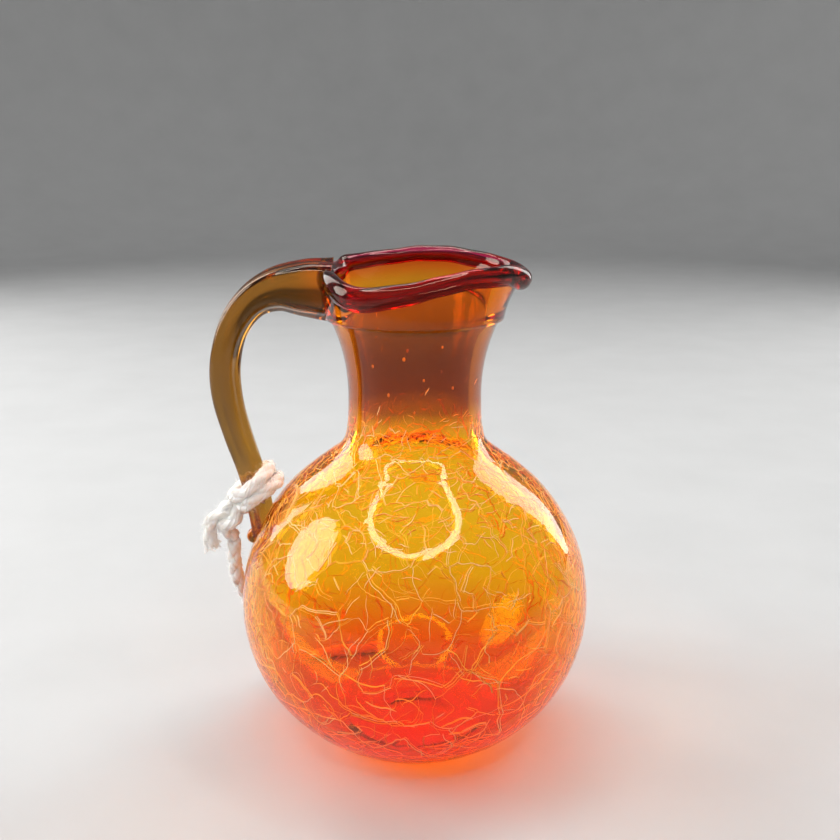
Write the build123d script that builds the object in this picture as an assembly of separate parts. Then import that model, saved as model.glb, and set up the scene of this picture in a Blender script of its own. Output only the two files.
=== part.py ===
from build123d import *
import math
import os

# A small hand-blown crackle-glass pitcher, in millimetres.
# The origin is the centre of the foot on the table, +Z is up,
# the spout points along +X and the handle stands on the -X side.

# ---- Driving sizes --------------------------------------------------------

BODY_RADIUS = 37.6            # widest outer radius of the bulb
BODY_DROP = 34.8              # vertical half-axis of the bulb below its widest line
BODY_RISE = 37.2              # vertical half-axis of the bulb above its widest line
FOOT_RADIUS = 15.5            # outer edge of the flat ring it stands on
PONTIL_RADIUS = 9.0           # hollow left under the foot by the pontil rod
PONTIL_DEPTH = 1.4
WALL = 2.6                    # glass thickness of the bulb and neck
FLOOR_THICKNESS = 4.0         # glass under the inside of the bulb
FLOOR_DOME = 0.6              # the inside floor rises this much at its centre

NECK_RADIUS = 14.0            # narrowest outer radius of the neck
NECK_Z = 78.0                 # height of the narrowest place
SHOULDER_ANGLE = 50.0         # where the bulb's ellipse gives way to the neck curve
SHOULDER_PULL = 12.0          # how far the neck curve follows the shoulder
NECK_PULL = 13.0              # how far it follows the straight neck
FLARE_RADIUS = 37.0           # arc of the neck opening out to the collar

COLLAR_Z = 94.0               # lower edge of the collar
COLLAR_STEP = 0.9             # the collar stands out from the neck by this much
COLLAR_BULGE = 0.7            # extra fullness of the collar half way up
LIP_WALL = 2.4                # glass thickness where the collar meets the ruby lip
LIP_HALF_WIDTH = 1.6          # ruby lip bead, half its thickness
LIP_SEAT = 0.7                # the collar ends this far below the bead's centre
SPOUT_DROP_RADIUS = 2.7       # ruby drop at the tip of the spout

STRING_DIAMETER = 3.0

# The ruby bead round the mouth: angle from the spout in degrees (turning to the
# back first), distance of its centre from the axis, height, half its own height.
RIM_STATIONS = [
    (0, 21.6, 102.3, 2.4),
    (25, 19.6, 103.6, 2.0),
    (55, 17.0, 105.0, 1.8),
    (85, 16.4, 105.1, 1.7),
    (115, 17.2, 104.4, 1.7),
    (145, 17.9, 103.6, 1.9),
    (180, 17.9, 102.6, 2.5),
    (210, 18.2, 101.2, 2.6),
    (232, 18.5, 99.7, 2.5),
    (258, 17.0, 100.6, 2.3),
    (285, 15.8, 101.9, 2.1),
    (315, 16.6, 103.2, 2.0),
    (338, 19.2, 103.4, 2.1),
    (360, 21.6, 102.3, 2.4),
]

# Centre line of the handle in the plane Y = 0: x, z, thickness in that plane,
# width across it. The list runs from the lip to the pad on the bulb.
HANDLE_STATIONS = [
    (-17.0, 99.6, 12.8, 9.6),
    (-22.6, 99.9, 11.6, 9.0),
    (-28.6, 99.6, 8.9, 8.2),
    (-33.8, 97.0, 7.0, 7.6),
    (-37.9, 91.4, 6.4, 7.3),
    (-39.8, 84.0, 6.3, 7.0),
    (-39.5, 76.6, 6.2, 6.9),
    (-37.7, 68.8, 5.8, 6.6),
    (-35.2, 60.8, 5.4, 6.4),
    (-33.6, 53.0, 5.2, 7.8),
    (-32.8, 46.4, 4.6, 7.6),
]
CURL_CENTRE = (-35.0, 0.0, 45.9)   # bead where the handle's end was pulled off
CURL_RADIUS = 1.6

# String round the foot of the handle.
WRAP_CENTRE = (-34.2, 0.0, 57.0)
WRAP_TILT = 38.0              # the wraps rise toward the neck by this angle
WRAP_RADIUS = 4.7             # centre line of each turn
WRAP_PITCH = 2.7              # from one turn to the next
KNOT_CENTRE = (-40.0, -0.8, 50.4)
KNOT_RADIUS = 3.1
KNOT_FOOT = (-39.4, 0.0, 45.6)
KNOT_FOOT_RADIUS = 2.0

# Short cut end, from the knot over to the left and down.
END_ROUTE = [
    (-40.0, -1.0, 51.0),
    (-43.2, -1.6, 51.4),
    (-44.8, -1.8, 47.4),
    (-43.8, -1.6, 43.4),
]

# Long end: it hangs from the knot, passes behind the bulb and lies on the table.
TAIL_ROUTE = [
    (-39.4, 0.2, 45.0),
    (-40.2, 1.6, 37.4),
    (-38.6, 7.0, 29.0),
    (-36.4, 12.6, 20.0),
    (-35.0, 17.6, 10.4),
    (-30.6, 25.4, 1.7),
    (-20.0, 31.6, 1.7),
    (-8.4, 33.4, 1.7),
]
CORNER_SHARE = 0.45           # part of the shorter run that a bend may use

# ---- Sizes that follow ----------------------------------------------------

BODY_Z = BODY_DROP * math.sqrt(1 - (FOOT_RADIUS / BODY_RADIUS) ** 2)
COLLAR_RADIUS = NECK_RADIUS + FLARE_RADIUS - math.sqrt(
    FLARE_RADIUS ** 2 - (COLLAR_Z - NECK_Z) ** 2)


def outline_face(outline, plane):
    """The flat face inside a closed outline laid on this plane."""
    return Face(Wire([plane * edge for edge in outline]))


def revolve_about_z(outline):
    """Spin a closed outline, drawn in the XZ plane, round the Z axis."""
    return revolve(outline_face(outline, Plane.XZ), Axis.Z, 360)


def side_curve(inset, start_angle):
    """The bulb, shoulder and neck line, moved in by inset."""
    across = BODY_RADIUS - inset
    rise = BODY_RISE - inset
    drop = BODY_DROP - inset
    turn = math.radians(SHOULDER_ANGLE)
    shoulder = (across * math.cos(turn), BODY_Z + rise * math.sin(turn))
    along = (-across * math.sin(turn), rise * math.cos(turn))
    pull = SHOULDER_PULL / math.hypot(*along)
    lower = EllipticalCenterArc(
        (0, BODY_Z), across, drop, start_angle, arc_size=-start_angle)
    upper = EllipticalCenterArc((0, BODY_Z), across, rise, 0, arc_size=SHOULDER_ANGLE)
    neck = Bezier(
        shoulder,
        (shoulder[0] + pull * along[0], shoulder[1] + pull * along[1]),
        (NECK_RADIUS - inset, NECK_Z - NECK_PULL),
        (NECK_RADIUS - inset, NECK_Z))
    sweep_angle = math.degrees(math.asin((COLLAR_Z - NECK_Z) / (FLARE_RADIUS + inset)))
    flare = CenterArc(
        (NECK_RADIUS + FLARE_RADIUS, NECK_Z), FLARE_RADIUS + inset, 180, -sweep_angle)
    return [lower, upper, neck, flare]


def foot_angle(inset, height):
    """Angle below the widest line at which the lower bulb is at this height."""
    return -math.degrees(math.asin((BODY_Z - height) / (BODY_DROP - inset)))


def lower_radius(inset, height):
    """Radius of the lower bulb at this height."""
    return (BODY_RADIUS - inset) * math.cos(math.radians(foot_angle(inset, height)))


def filled_vessel():
    """The bulb and neck as if they were solid glass."""
    outline = side_curve(0, foot_angle(0, 0))
    outline.append(Line((COLLAR_RADIUS, COLLAR_Z), (0, COLLAR_Z)))
    outline.append(Line((0, COLLAR_Z), (0, 0)))
    outline.append(Line((0, 0), (FOOT_RADIUS, 0)))
    return revolve_about_z(outline)


def vessel_hollow():
    """The air inside the bulb and neck, up to the collar."""
    floor_radius = lower_radius(WALL, FLOOR_THICKNESS)
    outline = side_curve(WALL, foot_angle(WALL, FLOOR_THICKNESS))
    top_radius = (outline[-1] @ 1).X
    outline.append(Line((top_radius, COLLAR_Z), (0, COLLAR_Z)))
    outline.append(Line((0, COLLAR_Z), (0, FLOOR_THICKNESS + FLOOR_DOME)))
    outline.append(ThreePointArc(
        (0, FLOOR_THICKNESS + FLOOR_DOME),
        (floor_radius / 2, FLOOR_THICKNESS + 0.75 * FLOOR_DOME),
        (floor_radius, FLOOR_THICKNESS)))
    return revolve_about_z(outline)


def pontil_hollow():
    """The shallow dish under the foot."""
    sphere_radius = (PONTIL_RADIUS ** 2 + PONTIL_DEPTH ** 2) / (2 * PONTIL_DEPTH)
    return Pos(0, 0, PONTIL_DEPTH - sphere_radius) * Sphere(sphere_radius)


def inner_collar_radius():
    """Inside radius of the neck where the collar begins."""
    bore = FLARE_RADIUS + WALL
    return NECK_RADIUS + FLARE_RADIUS - math.sqrt(bore ** 2 - (COLLAR_Z - NECK_Z) ** 2)


def radial_plane(angle):
    """Upright plane through the axis: local x points outward, local y up."""
    turn = math.radians(angle)
    return Plane(
        origin=(0, 0, 0),
        x_dir=(math.cos(turn), math.sin(turn), 0),
        z_dir=(math.sin(turn), -math.cos(turn), 0))


def collar_section(station):
    """Cut through the collar glass at one station of the rim."""
    angle, radius, height, _ = station
    top = height - LIP_SEAT
    half_way = (COLLAR_Z + top) / 2
    inner_foot = (inner_collar_radius(), COLLAR_Z)
    outer_foot = (COLLAR_RADIUS + COLLAR_STEP, COLLAR_Z)
    inner_top = (radius - LIP_WALL / 2, top)
    outer_top = (radius + LIP_WALL / 2, top)
    outer_pull = (outer_foot[0] + COLLAR_BULGE, half_way)
    inner_pull = (inner_foot[0] + COLLAR_BULGE, half_way)
    outline = [
        Line(inner_foot, outer_foot),
        Bezier(outer_foot, outer_pull, outer_top),
        Line(outer_top, inner_top),
        Bezier(inner_top, inner_pull, inner_foot)]
    return outline_face(outline, radial_plane(angle))


def lip_section(station):
    """Cut through the ruby bead at one station of the rim."""
    angle, radius, height, half_height = station
    quarters = [
        EllipticalCenterArc((radius, height), LIP_HALF_WIDTH, half_height, start)
        for start in (0, 90, 180, 270)]
    return outline_face(quarters, radial_plane(angle))


def ring_from(section):
    """Join the sections of the back half and of the front half into a ring."""
    half = [station[0] for station in RIM_STATIONS].index(180)
    back = loft([section(station) for station in RIM_STATIONS[:half + 1]])
    front = loft([section(station) for station in RIM_STATIONS[half:]])
    return back + front


def handle_blank():
    """The pulled handle before it is trimmed to the glass it is stuck to."""
    sections = []
    last = len(HANDLE_STATIONS) - 1
    for index, (x, z, thickness, width) in enumerate(HANDLE_STATIONS):
        before = HANDLE_STATIONS[max(index - 1, 0)]
        after = HANDLE_STATIONS[min(index + 1, last)]
        along = (after[0] - before[0], 0, after[1] - before[1])
        plane = Plane(origin=(x, 0, z), x_dir=(0, 1, 0), z_dir=along)
        sections.append(plane * Ellipse(width / 2, thickness / 2))
    curl = Pos(*CURL_CENTRE) * Sphere(CURL_RADIUS)
    return loft(sections) + curl


def wrap_turn(offset):
    """One turn of string round the handle."""
    tilt = math.radians(WRAP_TILT)
    plane = Plane(
        origin=WRAP_CENTRE,
        x_dir=(math.cos(tilt), 0, math.sin(tilt)),
        z_dir=(-math.sin(tilt), 0, math.cos(tilt)))
    return plane * Pos(0, 0, offset) * Torus(WRAP_RADIUS, STRING_DIAMETER / 2)


def bend_radii(route):
    """Radius at each inner point, as large as the shorter run beside it allows."""
    radii = []
    for before, corner, after in zip(route, route[1:], route[2:]):
        incoming = Vector(*corner) - Vector(*before)
        outgoing = Vector(*after) - Vector(*corner)
        turn = math.radians(incoming.get_angle(outgoing))
        shorter = min(incoming.length, outgoing.length)
        radii.append(CORNER_SHARE * shorter / math.tan(turn / 2))
    return radii


def string_tube(route, name):
    """A plain round tube along straight runs joined by tangent arcs."""
    radii = bend_radii(route)
    path = FilletPolyline(*route, radius=radii)
    start = Plane(origin=path @ 0, z_dir=path % 0)
    tube = sweep(start * Circle(STRING_DIAMETER / 2), path)
    expected = math.pi * (STRING_DIAMETER / 2) ** 2 * path.length
    print(name, "length", round(path.length, 1), "radii", [round(r, 1) for r in radii])
    print(name, "volume", round(tube.volume, 1), "section x length", round(expected, 1))
    return tube


def knot_blank():
    """The lump of the knot, with the neck of string that leaves it downward."""
    lump = Pos(*KNOT_CENTRE) * Sphere(KNOT_RADIUS)
    run = Line(KNOT_CENTRE, KNOT_FOOT)
    start = Plane(origin=run @ 0, z_dir=run % 0)
    neck = sweep(start * Circle(KNOT_FOOT_RADIUS), run)
    return lump + neck


vessel = filled_vessel() - vessel_hollow() - pontil_hollow()
collar = ring_from(collar_section)
_, spout_radius, spout_height, _ = RIM_STATIONS[0]
spout_drop = Pos(spout_radius, 0, spout_height) * Sphere(SPOUT_DROP_RADIUS)
lip = ring_from(lip_section) + spout_drop - collar
handle = handle_blank() - filled_vessel() - collar - lip

wraps = wrap_turn(WRAP_PITCH / 2) + wrap_turn(-WRAP_PITCH / 2) - handle - filled_vessel()
knot = knot_blank() - wraps - handle
short_end = string_tube(END_ROUTE, "string_end") - knot
tail = string_tube(TAIL_ROUTE, "string_tail") - knot

nodes = {
    "vessel": vessel,
    "collar": collar,
    "ruby_lip": lip,
    "handle": handle,
    "string_wraps": wraps,
    "string_knot": knot,
    "string_end": short_end,
    "string_tail": tail,
}

os.makedirs("parts", exist_ok=True)
for name, shape in nodes.items():
    print(name, "solids", len(shape.solids()), "volume", round(shape.volume, 1),
          "valid", shape.is_valid)
    export_step(shape, "parts/" + name + ".step")
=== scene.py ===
import math

import bmesh
import bpy
import numpy as np
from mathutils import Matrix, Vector


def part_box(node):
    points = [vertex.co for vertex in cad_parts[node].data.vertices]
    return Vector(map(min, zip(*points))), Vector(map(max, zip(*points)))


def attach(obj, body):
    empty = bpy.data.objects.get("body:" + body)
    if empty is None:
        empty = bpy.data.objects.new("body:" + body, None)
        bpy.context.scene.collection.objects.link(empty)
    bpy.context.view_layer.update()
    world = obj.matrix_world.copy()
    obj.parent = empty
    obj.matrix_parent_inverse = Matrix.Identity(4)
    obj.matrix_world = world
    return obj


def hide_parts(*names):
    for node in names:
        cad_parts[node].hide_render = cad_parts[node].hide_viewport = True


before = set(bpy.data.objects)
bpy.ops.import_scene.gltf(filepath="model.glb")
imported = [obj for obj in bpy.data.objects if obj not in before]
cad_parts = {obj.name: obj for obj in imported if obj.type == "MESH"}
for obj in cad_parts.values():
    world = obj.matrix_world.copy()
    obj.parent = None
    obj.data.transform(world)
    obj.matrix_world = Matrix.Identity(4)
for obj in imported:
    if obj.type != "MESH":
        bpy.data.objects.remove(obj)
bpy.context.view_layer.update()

# The looks of a hand-blown crackle-glass pitcher: an amber bulb and neck with
# real cracks in the wall, a ruby lip, an olive handle and a cotton string.
# Everything is in metres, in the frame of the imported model.

MM = 0.001

# ---- Sizes taken from the frame ----

vessel_low, vessel_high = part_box("vessel")
lip_low, lip_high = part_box("ruby_lip")
BODY_RADIUS = (vessel_high[0] - vessel_low[0]) / 2
COLLAR_Z = vessel_high[2]
TOTAL_HEIGHT = lip_high[2]

# ---- Sizes of the glass, the same as in the CAD ----

BODY_DROP = 34.8 * MM
BODY_RISE = 37.2 * MM
FOOT_RADIUS = 15.5 * MM
PONTIL_RADIUS = 9.0 * MM
PONTIL_DEPTH = 1.4 * MM
WALL = 2.6 * MM
FLOOR_THICKNESS = 4.0 * MM
FLOOR_DOME = 0.6 * MM
NECK_RADIUS = 14.0 * MM
NECK_Z = 78.0 * MM
SHOULDER_ANGLE = math.radians(50)
SHOULDER_PULL = 12.0 * MM
NECK_PULL = 13.0 * MM
FLARE_RADIUS = 37.0 * MM
COLLAR_STEP = 0.9 * MM
COLLAR_BULGE = 0.7 * MM
LIP_WALL = 2.4 * MM
LIP_HALF_WIDTH = 1.6 * MM
SPOUT_DROP_RADIUS = 2.7 * MM
LIP_SEAT = 0.7 * MM
LIP_OVERLAP = 1.0 * MM        # how far the wall runs up into the ruby lip
STRING_DIAMETER = 3.0 * MM

BODY_Z = BODY_DROP * math.sqrt(1 - (FOOT_RADIUS / BODY_RADIUS) ** 2)

# The ruby bead round the mouth: angle from the spout in degrees (turning to the
# back first), distance of its centre from the axis, height, half its own height.
RIM_STATIONS = [
    (0, 21.6, 102.3, 2.4),
    (25, 19.6, 103.6, 2.0),
    (55, 17.0, 105.0, 1.8),
    (85, 16.4, 105.1, 1.7),
    (115, 17.2, 104.4, 1.7),
    (145, 17.9, 103.6, 1.9),
    (180, 17.9, 102.6, 2.5),
    (210, 18.2, 101.2, 2.6),
    (232, 18.5, 99.7, 2.5),
    (258, 17.0, 100.6, 2.3),
    (285, 15.8, 101.9, 2.1),
    (315, 16.6, 103.2, 2.0),
    (338, 19.2, 103.4, 2.1),
]

# Centre line of the handle in the plane Y = 0: x, z, thickness, width in mm.
HANDLE_STATIONS = [
    (-17.0, 99.6, 12.8, 9.6),
    (-22.6, 99.9, 11.6, 9.0),
    (-28.6, 99.6, 8.9, 8.2),
    (-33.8, 97.0, 7.0, 7.6),
    (-37.9, 91.4, 6.4, 7.3),
    (-39.8, 84.0, 6.3, 7.0),
    (-39.5, 76.6, 6.2, 6.9),
    (-37.7, 68.8, 5.8, 6.6),
    (-35.2, 60.8, 5.4, 6.4),
    (-33.6, 53.0, 5.2, 7.8),
    (-32.8, 46.4, 4.6, 7.6),
]

CURL_CENTRE = (-35.0, 0.0, 45.9)
CURL_RADIUS = 1.6

# The string, in mm: the turns round the handle, the knot and both ends.
WRAP_CENTRE = (-34.2, 0.0, 57.0)
WRAP_TILT = math.radians(38)
WRAP_RADIUS = 4.7
WRAP_PITCH = 2.7
KNOT_CENTRE = (-40.0, -0.8, 50.4)
END_ROUTE = [
    (-40.0, -1.0, 51.0),
    (-43.2, -1.6, 51.4),
    (-44.8, -1.8, 47.4),
    (-43.8, -1.6, 43.4),
]
TAIL_ROUTE = [
    (-39.4, 0.2, 45.0),
    (-40.2, 1.6, 37.4),
    (-38.6, 7.0, 29.0),
    (-36.4, 12.6, 20.0),
    (-35.0, 17.6, 10.4),
    (-30.6, 25.4, 1.7),
    (-20.0, 31.6, 1.7),
    (-8.4, 33.4, 1.7),
]

# ---- Camera ----

CAMERA_DISTANCE = 0.2253
CAMERA_HEIGHT = 0.1317
CAMERA_SIDE = 0.0011
CAMERA_PITCH = math.radians(14.88)
CAMERA_LENS = 47.14           # in mm, as the sensor
CAMERA_SENSOR = 36.0


def add_camera():
    data = bpy.data.cameras.new("photo_camera")
    data.lens = CAMERA_LENS
    data.sensor_width = CAMERA_SENSOR
    data.clip_start = 0.01
    data.clip_end = 20.0
    camera = bpy.data.objects.new("photo_camera", data)
    camera.location = (CAMERA_SIDE, -CAMERA_DISTANCE, CAMERA_HEIGHT)
    camera.rotation_euler = (math.pi / 2 - CAMERA_PITCH, 0, 0)
    bpy.context.scene.collection.objects.link(camera)
    bpy.context.scene.camera = camera


add_camera()

# ---- Mesh helpers ----

SPAN_STEPS = 24               # points made between two given points


def circle_angles(count):
    """Angles of this many points evenly round a circle."""
    return np.linspace(0, 2 * math.pi, count, endpoint=False)


def unit(vectors):
    """The same vectors, each with a length of one."""
    return vectors / np.linalg.norm(vectors, axis=-1, keepdims=True)


def add_mesh(name, vertices, faces, smooth=True):
    """Make an object from vertices and faces and shade it smooth."""
    mesh = bpy.data.meshes.new(name)
    mesh.from_pydata([tuple(v) for v in vertices], [], [tuple(f) for f in faces])
    mesh.validate()
    shape = bmesh.new()
    shape.from_mesh(mesh)
    bmesh.ops.recalc_face_normals(shape, faces=shape.faces)
    shape.to_mesh(mesh)
    shape.free()
    mesh.update()
    if smooth:
        mesh.polygons.foreach_set("use_smooth", [True] * len(mesh.polygons))
    piece = bpy.data.objects.new(name, mesh)
    bpy.context.scene.collection.objects.link(piece)
    return piece


def ring_faces(ring_count, column_count, closed):
    """Quads between rings of vertices; closed joins the last ring to the first."""
    faces = []
    last = ring_count if closed else ring_count - 1
    for ring in range(last):
        here = ring * column_count
        above = ((ring + 1) % ring_count) * column_count
        for column in range(column_count):
            after = (column + 1) % column_count
            faces.append((here + column, here + after, above + after, above + column))
    return faces


def tube_with_caps(rings):
    """Vertices and faces of a tube given as rings, with a fan over each end."""
    ring_count, column_count, _ = rings.shape
    vertices = list(rings.reshape(-1, 3))
    faces = ring_faces(ring_count, column_count, False)
    first_centre = len(vertices)
    vertices.append(rings[0].mean(axis=0))
    vertices.append(rings[-1].mean(axis=0))
    last_start = (ring_count - 1) * column_count
    for column in range(column_count):
        after = (column + 1) % column_count
        faces.append((first_centre, after, column))
        faces.append((first_centre + 1, last_start + column, last_start + after))
    return vertices, faces


def distance_along(line):
    """Distance of each point of a line from its start, along the line."""
    steps = np.linalg.norm(np.diff(line, axis=0), axis=1)
    return np.concatenate([[0.0], np.cumsum(steps)])


def resample(points, count):
    """Points evenly spaced along a line of points."""
    points = np.asarray(points, dtype=float)
    along = distance_along(points)
    wanted = np.linspace(0.0, along[-1], count)
    columns = [np.interp(wanted, along, points[:, axis]) for axis in range(points.shape[1])]
    return np.stack(columns, axis=1)


def smooth_through(points, count, closed=False):
    """A Catmull-Rom line through given points, evenly spaced."""
    points = np.asarray(points, dtype=float)
    if closed:
        padded = np.concatenate([points[-1:], points, points[:2]])
    else:
        first = 2 * points[0] - points[1]
        last = 2 * points[-1] - points[-2]
        padded = np.concatenate([[first], points, [last]])
    line = []
    fractions = np.linspace(0, 1, SPAN_STEPS, endpoint=False)
    for a, b, c, d in zip(padded, padded[1:], padded[2:], padded[3:]):
        for t in fractions:
            line.append(0.5 * (
                2 * b + (c - a) * t + (2 * a - 5 * b + 4 * c - d) * t ** 2
                + (3 * b - a - 3 * c + d) * t ** 3))
    line.append(padded[-2])
    return resample(line, count)


# ---- Outline of the bulb, neck and rim ----

LOWER_POINTS = 80
UPPER_POINTS = 60
NECK_POINTS = 60
FLARE_POINTS = 40
RIM_POINTS = 720
OUTLINE_POINTS = 700          # of the outline that short cracks are laid along


def side_line(inset, bottom_z):
    """Radius and height of the bulb and neck from bottom_z to the collar."""
    across = BODY_RADIUS - inset
    drop = BODY_DROP - inset
    rise = BODY_RISE - inset
    start = -math.asin((BODY_Z - bottom_z) / drop)
    lower = np.linspace(start, 0, LOWER_POINTS)
    upper = np.linspace(0, SHOULDER_ANGLE, UPPER_POINTS)[1:]
    bulb_low = np.stack([across * np.cos(lower), BODY_Z + drop * np.sin(lower)], axis=1)
    bulb_high = np.stack([across * np.cos(upper), BODY_Z + rise * np.sin(upper)], axis=1)
    along = unit(np.array([
        -across * math.sin(SHOULDER_ANGLE), rise * math.cos(SHOULDER_ANGLE)]))
    neck_foot = bulb_high[-1]
    neck_top = np.array([NECK_RADIUS - inset, NECK_Z])
    pull_low = neck_foot + along * SHOULDER_PULL
    pull_high = neck_top - np.array([0, NECK_PULL])
    t = np.linspace(0, 1, NECK_POINTS)[1:, None]
    neck = ((1 - t) ** 3 * neck_foot + 3 * (1 - t) ** 2 * t * pull_low
            + 3 * (1 - t) * t ** 2 * pull_high + t ** 3 * neck_top)
    flare_radius = FLARE_RADIUS + inset
    turn = np.linspace(0, math.asin((COLLAR_Z - NECK_Z) / flare_radius), FLARE_POINTS)[1:]
    flare = np.stack([
        NECK_RADIUS + FLARE_RADIUS - flare_radius * np.cos(turn),
        NECK_Z + flare_radius * np.sin(turn)], axis=1)
    return np.concatenate([bulb_low, bulb_high, neck, flare])


def rim_line(angles):
    """Distance from the axis, height and half height of the lip at these angles."""
    stations = np.array(RIM_STATIONS, dtype=float)
    turn = np.radians(stations[:, 0])
    places = np.stack([
        stations[:, 1] * np.cos(turn), stations[:, 1] * np.sin(turn),
        stations[:, 2], stations[:, 3]], axis=1)
    line = smooth_through(places * MM, RIM_POINTS, closed=True)
    found = np.unwrap(np.arctan2(line[:, 1], line[:, 0]))
    whole = 2 * math.pi
    radius = np.hypot(line[:, 0], line[:, 1])
    return [np.interp(angles, found, values, period=whole)
            for values in (radius, line[:, 2], line[:, 3])]


# ---- Crack pattern ----

CRACK_TOP_Z = 73 * MM         # the neck is clear of long cracks above this
CRACK_FOOT_Z = 2.6 * MM       # and no crack reaches below this
CELL_LOW = 11.0 * MM          # size of the cells on the lower bulb
CELL_LOW_Z = 34 * MM
CELL_HIGH = 6.0 * MM          # size of the cells round the shoulder and neck
CELL_HIGH_Z = 62 * MM
CELL_CURVE = 1.3
SEED_TRIES = 9000
SEED_GAP = 0.72               # least distance between seeds, of the cell's size
BATCH = 4000                  # vertices compared with all the seeds at a time
GROOVE_DEPTH = 0.045 * MM
GROOVE_WIDTH = 0.35 * MM
GROOVE_FADE_TOP = 6 * MM
GROOVE_FADE_FOOT = 3 * MM
FISSURE_SINK = 0.10 * MM      # glass left over the top of a closed crack
FISSURE_DEPTH = 0.40 * MM     # how far a long crack runs into the wall
FISSURE_MOUTH = 0.05 * MM     # how wide it stands at its top
OPEN_SHARE = 0.35             # share of the long cracks that is open and shines
OPEN_RISE = 0.015 * MM        # how far an open crack stands out of the surface
OPEN_WIDER = 2.2              # and how much wider it is than a closed one
# Two networks of cells over each other: size against the size wanted at that
# height, starting number of its random draws, share of its edges left whole.
NETWORKS = [(1.0, 5, 0.10), (0.55, 6, 0.45)]
DOUBLE_SHARE = 0.5            # share of cell edges with a second crack beside them
EDGE_SEED = 23
TWIN_RANGE = (0.12, 0.35)     # distance of double cracks from the edge, in mm
TWIN_WAVE = 1.9 * MM
TWIN_SWAY = 0.10 * MM
TWIN_PHASE = 60
WARP = 1.35 * MM
WARP_SEED = 11
WARP_WAVES = [(4.1 * MM, 1.0), (1.8 * MM, 0.5), (0.8 * MM, 0.22)]
MOUTH_RANGE = (0.5, 1.5)      # how much the cracks differ from one to the next
DEPTH_RANGE = (0.4, 1.5)
LEAN = 0.22
WEDGE_TAPER = 0.85            # share of its size that a short crack loses at its ends

# Short cracks: lowest and highest start, how many, shortest and longest, the
# share of them that runs level, the share that is open, and between which angles
# from the spout. Heights and lengths in mm, angles in degrees.
HAIRLINE_ZONES = [
    (3, 14, 260, 4.0, 14.0, 0.7, 0.4, 0, 360),
    (12, 32, 210, 3.0, 12.0, 0.4, 0.4, 0, 360),
    (30, 56, 280, 2.5, 9.0, 0.25, 0.3, 0, 360),
    (54, 66, 560, 1.5, 6.0, 0.9, 0.3, 0, 360),
    (64, 76, 240, 1.0, 3.5, 0.6, 0.2, 0, 360),
    (76, 93, 14, 0.8, 2.0, 0.2, 0.4, 0, 360),
    (12, 58, 240, 4.0, 12.0, 0.05, 0.1, 166, 220),
    (12, 58, 240, 4.0, 12.0, 0.05, 0.1, 320, 374),
]
HAIRLINE_SEED = 41
HAIRLINE_STEP = 0.6 * MM
HAIRLINE_LEAST = 4            # fewest points of one
HAIRLINE_BEND = 0.09          # these four in radians
HAIRLINE_WANDER = 0.22
LEVEL_SPREAD = 0.3
UPRIGHT_RANGE = (0.5, 2.6)
HAIRLINE_MOUTH = 0.045 * MM
HAIRLINE_DEPTH = 0.38 * MM

# Small bubbles in the neck: angle from the spout in degrees, height and radius in mm.
BUBBLES = [
    (262, 88.0, 0.30), (278, 83.5, 0.22), (247, 80.2, 0.26), (291, 90.5, 0.20),
    (270, 76.8, 0.18), (234, 86.0, 0.24), (305, 81.4, 0.24), (98, 85.0, 0.28),
    (60, 80.5, 0.22), (130, 88.6, 0.24), (20, 84.2, 0.25), (190, 82.3, 0.22),
]
BUBBLE_STRETCH = 1.6


def warp(points):
    """Push points about a little, so that cell edges wander like cracks."""
    rng = np.random.default_rng(WARP_SEED)
    moved = points.copy()
    for wavelength, size in WARP_WAVES:
        for axis in range(3):
            direction = rng.normal(size=(3, 3))
            phase = rng.uniform(0, 2 * math.pi, 3)
            wave = np.sin(points @ direction.T / wavelength + phase).sum(axis=1)
            moved[:, axis] += wave * size * WARP / 2
    return moved


def cell_size(z):
    """Wanted size of a crackle cell at this height."""
    share = np.clip((z - CELL_LOW_Z) / (CELL_HIGH_Z - CELL_LOW_Z), 0, 1)
    return CELL_LOW + (CELL_HIGH - CELL_LOW) * share ** CELL_CURVE


def scatter_seeds(surface, scale, start):
    """Well-spaced cell centres on the surface, closer together toward the neck."""
    rng = np.random.default_rng(start)
    rings, columns, _ = surface.shape
    girth = np.linalg.norm(surface[:, 0, :2], axis=1)
    weight = girth / cell_size(surface[:, 0, 2]) ** 2
    chosen_rings = rng.choice(rings, size=SEED_TRIES, p=weight / weight.sum())
    chosen_columns = rng.integers(0, columns, size=SEED_TRIES)
    seeds = np.empty((0, 3))
    for candidate in surface[chosen_rings, chosen_columns]:
        gap = SEED_GAP * scale * cell_size(candidate[2])
        if len(seeds) == 0 or np.min(np.sum((seeds - candidate) ** 2, axis=1)) > gap ** 2:
            seeds = np.vstack([seeds, candidate])
    return seeds


def nearest_two(points, seeds):
    """Index of the nearest seed, and the distances to the nearest two."""
    owner = np.empty(len(points), dtype=int)
    first = np.empty(len(points))
    second = np.empty(len(points))
    for start in range(0, len(points), BATCH):
        part = slice(start, start + BATCH)
        gap = np.linalg.norm(points[part, None, :] - seeds[None, :, :], axis=2)
        owner[part] = np.argmin(gap, axis=1)
        two = np.partition(gap, 1, axis=1)
        first[part] = two[:, 0]
        second[part] = two[:, 1]
    return owner, first, second


# ---- Vessel ----

COLUMNS = 320
BODY_RINGS = 214
INNER_RINGS = 56
FLOOR_RINGS = 6
DISH_RINGS = 7
COLLAR_OUTER_RINGS = 16
COLLAR_INNER_RINGS = 12
POLE_RADIUS = 0.3 * MM        # the last ring before a cap's middle
FOOT_GAP = 0.12 * MM          # the foot ring is worn hollow by this much
FOOT_INNER_EDGE = 0.4 * MM    # width of the foot ring's rounded edges
FOOT_OUTER_EDGE = 1.2 * MM
PALE_ANGLE = math.radians(315)    # where the collar has less ruby: partly its own fading, partly a painted reflection
PALE_SPREAD = math.radians(35)
PALE_SHARE = 0.5


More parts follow.
